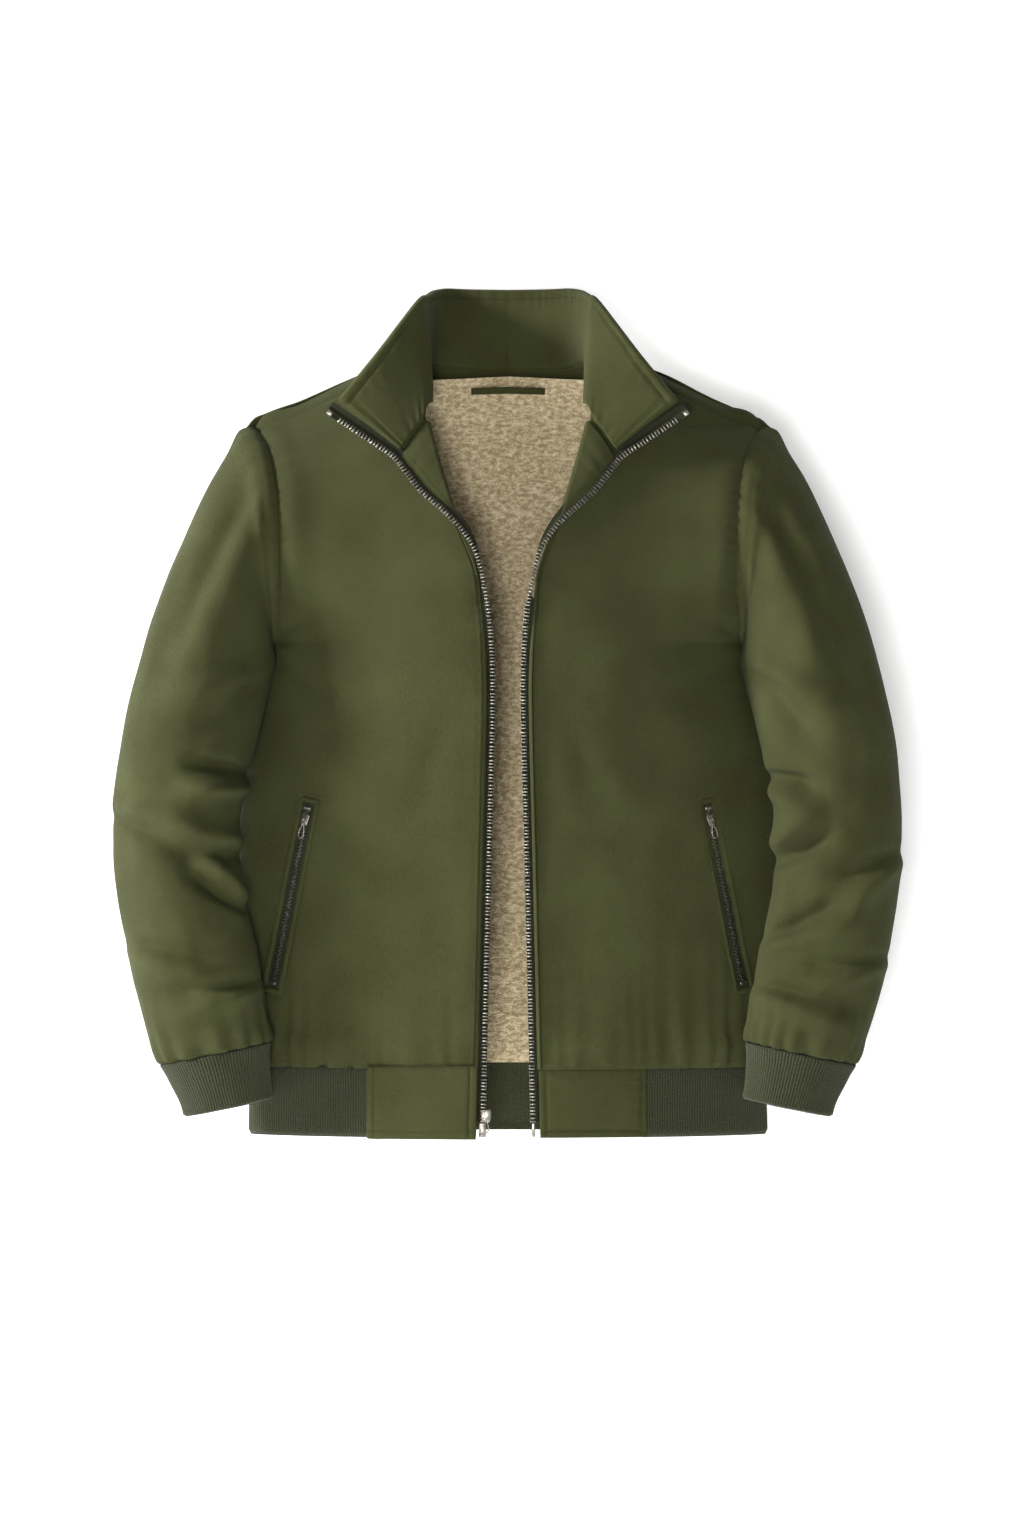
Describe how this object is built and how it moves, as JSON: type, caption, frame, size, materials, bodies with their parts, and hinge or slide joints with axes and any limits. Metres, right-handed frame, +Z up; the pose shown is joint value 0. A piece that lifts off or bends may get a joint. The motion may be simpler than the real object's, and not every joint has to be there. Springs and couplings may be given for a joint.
{
  "type": "jacket",
  "caption": "Stand-collar zip jacket with pile lining, ribbed cuffs and hem, cloth hem tabs and zipped hand pockets, open at the front.",
  "frame": {"origin": "on the centre line at the height of the back neck seam, between the shoulders, where a hanger or hook holds the jacket", "axes": "+Z up towards the collar; -Y out of the front of the jacket; +X towards the wearer's left sleeve"},
  "size_m": [0.6872, 0.1511, 0.749],
  "materials": {
    "shell_cloth": "tight weave, matt",
    "interlining": "matt",
    "pile_lining": "curly pile",
    "rib_knit": "two by two rib",
    "sleeve_lining": "smooth lining",
    "zip_tape": "woven tape",
    "pocketing": "plain weave",
    "zip_metal": "antique silver"
  },
  "bodies": {
    "torso": {"back_panel": "shell_cloth", "hang_loop": "shell_cloth", "collar_outer": "shell_cloth", "collar_inner": "shell_cloth", "collar_interlining": "interlining", "lining_back": "pile_lining", "hem_rib": "rib_knit", "retainer_box": "zip_metal", "insertion_pin": "zip_metal", "right_front_panel": "shell_cloth", "right_facing": "shell_cloth", "right_hem_tab": "shell_cloth", "right_pocket_welt": "shell_cloth", "right_front_lining": "pile_lining", "right_zip_tape": "zip_tape", "right_pocket_tape": "zip_tape", "right_pocket_bag": "pocketing", "right_zip_chain": "zip_metal", "right_top_stop": "zip_metal", "right_pocket_chain": "zip_metal", "right_pocket_top_stop": "zip_metal", "right_pocket_bottom_stop": "zip_metal", "left_front_panel": "shell_cloth", "left_facing": "shell_cloth", "left_hem_tab": "shell_cloth", "left_pocket_welt": "shell_cloth", "left_front_lining": "pile_lining", "left_zip_tape": "zip_tape", "left_pocket_tape": "zip_tape", "left_pocket_bag": "pocketing", "left_zip_chain": "zip_metal", "left_top_stop": "zip_metal", "left_pocket_chain": "zip_metal", "left_pocket_top_stop": "zip_metal", "left_pocket_bottom_stop": "zip_metal"},
    "main_slider": {"main_slider": "zip_metal"},
    "main_pull": {"main_pull": "zip_metal"},
    "right_sleeve_body": {"right_sleeve": "shell_cloth", "right_sleeve_lining": "sleeve_lining", "right_cuff": "rib_knit"},
    "right_pocket_slider": {"right_pocket_slider": "zip_metal"},
    "right_pocket_pull": {"right_pocket_pull": "zip_metal"},
    "left_sleeve_body": {"left_sleeve": "shell_cloth", "left_sleeve_lining": "sleeve_lining", "left_cuff": "rib_knit"},
    "left_pocket_slider": {"left_pocket_slider": "zip_metal"},
    "left_pocket_pull": {"left_pocket_pull": "zip_metal"}
  },
  "joints": [
    {"name": "main_slider_slide", "type": "slide", "parent": "torso", "child": "main_slider", "axis": [0.0236, -0.0402, 0.9989], "range_m": [0, 0.22]},
    {"name": "main_pull_swing", "type": "hinge", "parent": "main_slider", "child": "main_pull", "pos_m": [-0.01899, -0.04676, -0.65716], "axis": [0.9997, 0, -0.0237], "range_deg": [0, 120]},
    {"name": "right_pocket_slider_slide", "type": "slide", "parent": "torso", "child": "right_pocket_slider", "axis": [-0.1985, 0.0931, -0.9757], "range_m": [0, 0.125]},
    {"name": "right_pocket_pull_swing", "type": "hinge", "parent": "right_pocket_slider", "child": "right_pocket_pull", "pos_m": [-0.17753, -0.03917, -0.40006], "axis": [-0.9111, 0.3493, 0.2187], "range_deg": [0, 120]},
    {"name": "right_sleeve_swing", "type": "hinge", "parent": "torso", "child": "right_sleeve_body", "pos_m": [-0.2328, 0, -0.057], "axis": [0, 1, 0], "range_deg": [0, 55]},
    {"name": "left_pocket_slider_slide", "type": "slide", "parent": "torso", "child": "left_pocket_slider", "axis": [0.1985, 0.0931, -0.9757], "range_m": [0, 0.125]},
    {"name": "left_pocket_pull_swing", "type": "hinge", "parent": "left_pocket_slider", "child": "left_pocket_pull", "pos_m": [0.17753, -0.03917, -0.40006], "axis": [-0.9111, -0.3493, -0.2187], "range_deg": [0, 120]},
    {"name": "left_sleeve_swing", "type": "hinge", "parent": "torso", "child": "left_sleeve_body", "pos_m": [0.2328, 0, -0.057], "axis": [0, -1, 0], "range_deg": [0, 55]}
  ]
}
